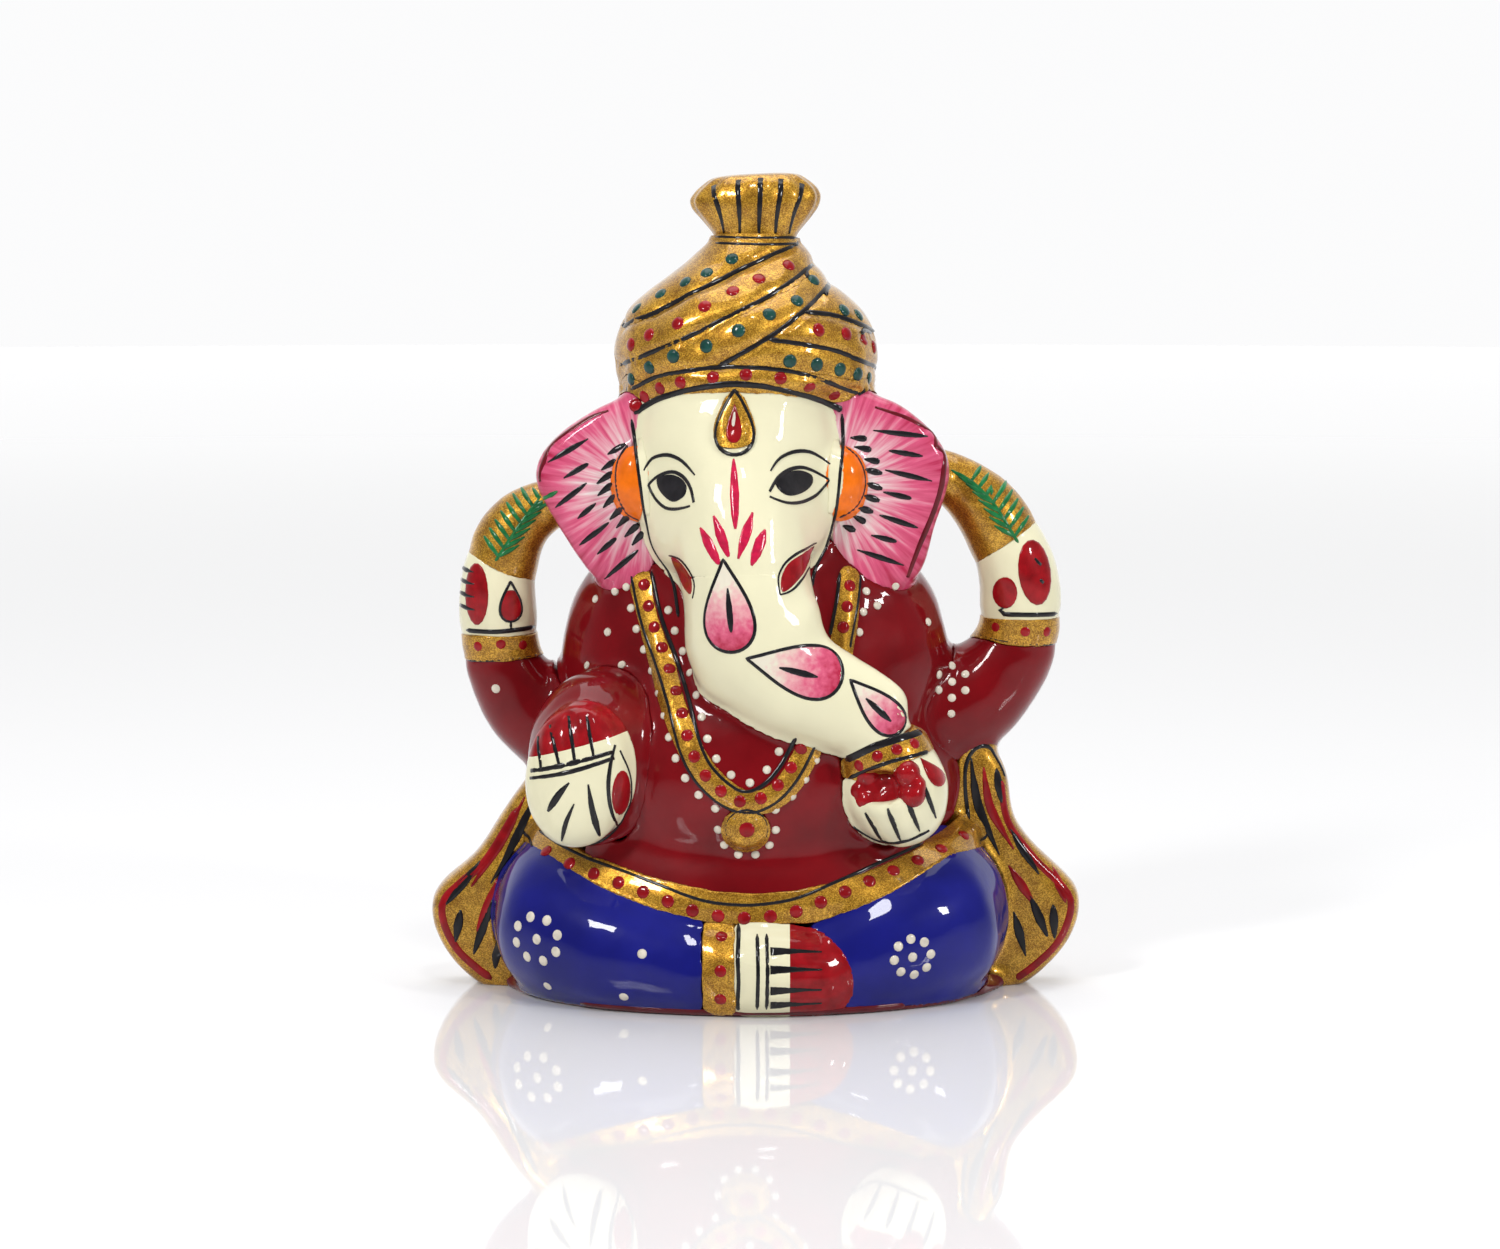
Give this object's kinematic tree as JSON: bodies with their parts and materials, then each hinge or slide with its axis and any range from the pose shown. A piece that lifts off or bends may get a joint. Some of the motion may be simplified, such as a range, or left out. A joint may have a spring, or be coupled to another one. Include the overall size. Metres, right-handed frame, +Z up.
{
  "type": "ganesha idol",
  "caption": "Small seated elephant-headed figure with four arms and a wrapped turban, a hand-painted and lacquered casting on a flat base.",
  "frame": {"origin": "middle of the footprint, on the surface that the figure stands on", "axes": "+Z up, the figure faces -Y, its right side is -X"},
  "size_m": [0.0718, 0.0378, 0.09],
  "materials": {
    "crimson_enamel": "gloss lacquer",
    "blue_enamel": "gloss lacquer",
    "cream_enamel": "gloss lacquer",
    "gold_enamel": "metallic gold paint under gloss lacquer",
    "pink_enamel": "gloss lacquer, brushed streaks",
    "orange_enamel": "gloss lacquer",
    "dark_red_enamel": "gloss lacquer",
    "black_line": "brushed line under lacquer",
    "green_enamel": "brushed mark under lacquer",
    "white_enamel": "dotted mark under lacquer"
  },
  "bodies": {
    "root": {"ankle_cuff": "gold_enamel", "base_plate": "dark_red_enamel", "foot": "cream_enamel", "forehead_setting": "gold_enamel", "forehead_stone": "crimson_enamel", "head": "cream_enamel", "hips": "blue_enamel", "left_ear": "pink_enamel", "left_hand": "cream_enamel", "left_hand_bangle": "gold_enamel", "left_inner_ear": "orange_enamel", "left_leg": "blue_enamel", "left_rear_bangle": "gold_enamel", "left_rear_hand": "cream_enamel", "left_rear_leaf": "gold_enamel", "left_rear_sleeve": "crimson_enamel", "left_shawl_end": "gold_enamel", "necklace": "gold_enamel", "necklace_left_end": "gold_enamel", "pendant": "gold_enamel", "raised_hand": "cream_enamel", "raised_sleeve": "crimson_enamel", "right_ear": "pink_enamel", "right_inner_ear": "orange_enamel", "right_leg": "blue_enamel", "right_rear_bangle": "gold_enamel", "right_rear_hand": "cream_enamel", "right_rear_leaf": "gold_enamel", "right_rear_sleeve": "crimson_enamel", "right_shawl_end": "gold_enamel", "sweet": "crimson_enamel", "trunk": "cream_enamel", "tunic": "crimson_enamel", "turban_brim": "gold_enamel", "turban_crest": "gold_enamel", "turban_lower_wrap": "gold_enamel", "turban_middle_wrap": "gold_enamel", "turban_side_wrap": "gold_enamel", "turban_top_wrap": "gold_enamel", "waist_sash": "gold_enamel"}
  },
  "joints": []
}
